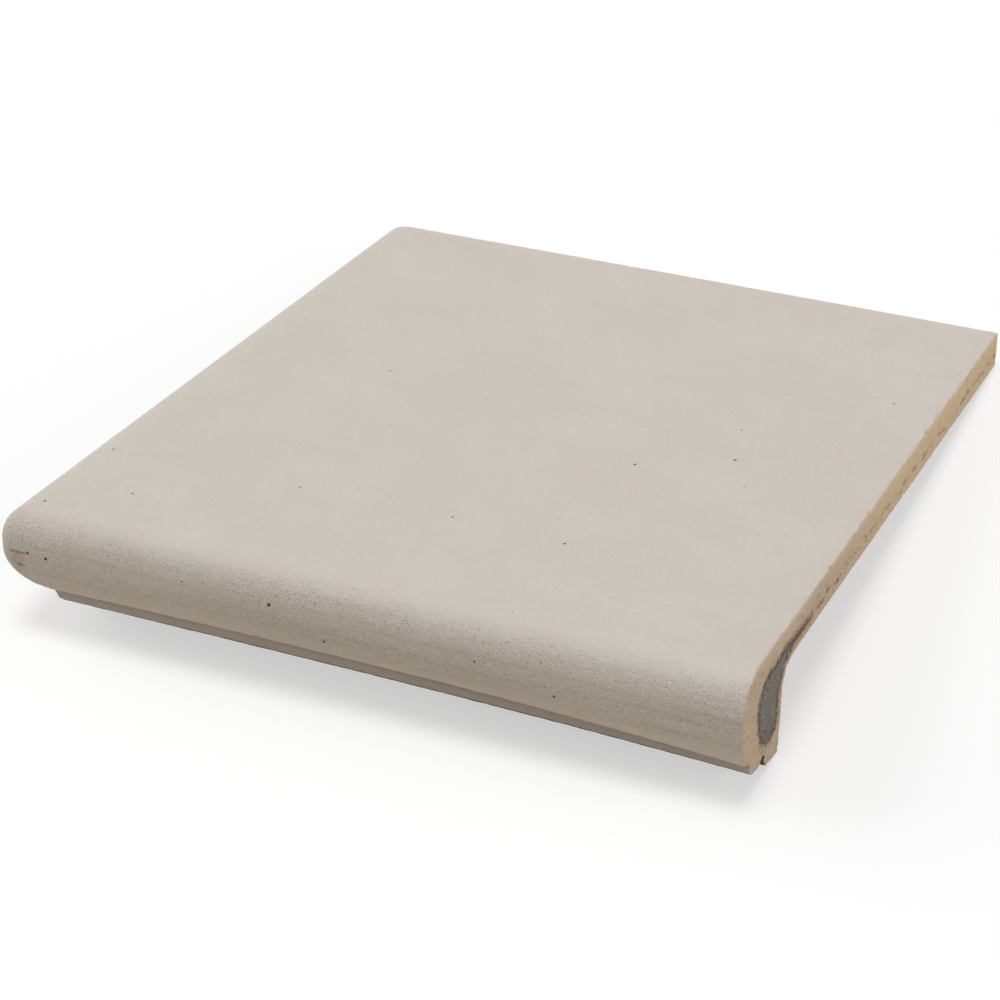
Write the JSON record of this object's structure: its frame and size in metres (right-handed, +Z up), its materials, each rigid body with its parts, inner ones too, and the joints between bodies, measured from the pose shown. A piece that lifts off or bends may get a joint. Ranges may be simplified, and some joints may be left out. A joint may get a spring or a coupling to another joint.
{
  "type": "stair nosing tile",
  "caption": "Fired clay stair nosing tile: a flat square tread slab whose front edge turns down into a thick bullnosed lip with a drip groove under it.",
  "frame": {"origin": "middle of the tile's box, on the floor that it lies on", "axes": "+X along the stair edge towards the cut end, +Y back from the nose, +Z up; the tread face leans back 7.0 degrees because the tile rests unheld on its nose's heel and its lower back edge"},
  "size_m": [0.3, 0.3298, 0.0542],
  "materials": {
    "fired_clay": "matt pale grey-beige slip coat on the tread and nose, bare tan clay on the cut end, the foot and the underside"
  },
  "bodies": {
    "root": {"nosing_tile": "fired_clay"}
  },
  "joints": []
}
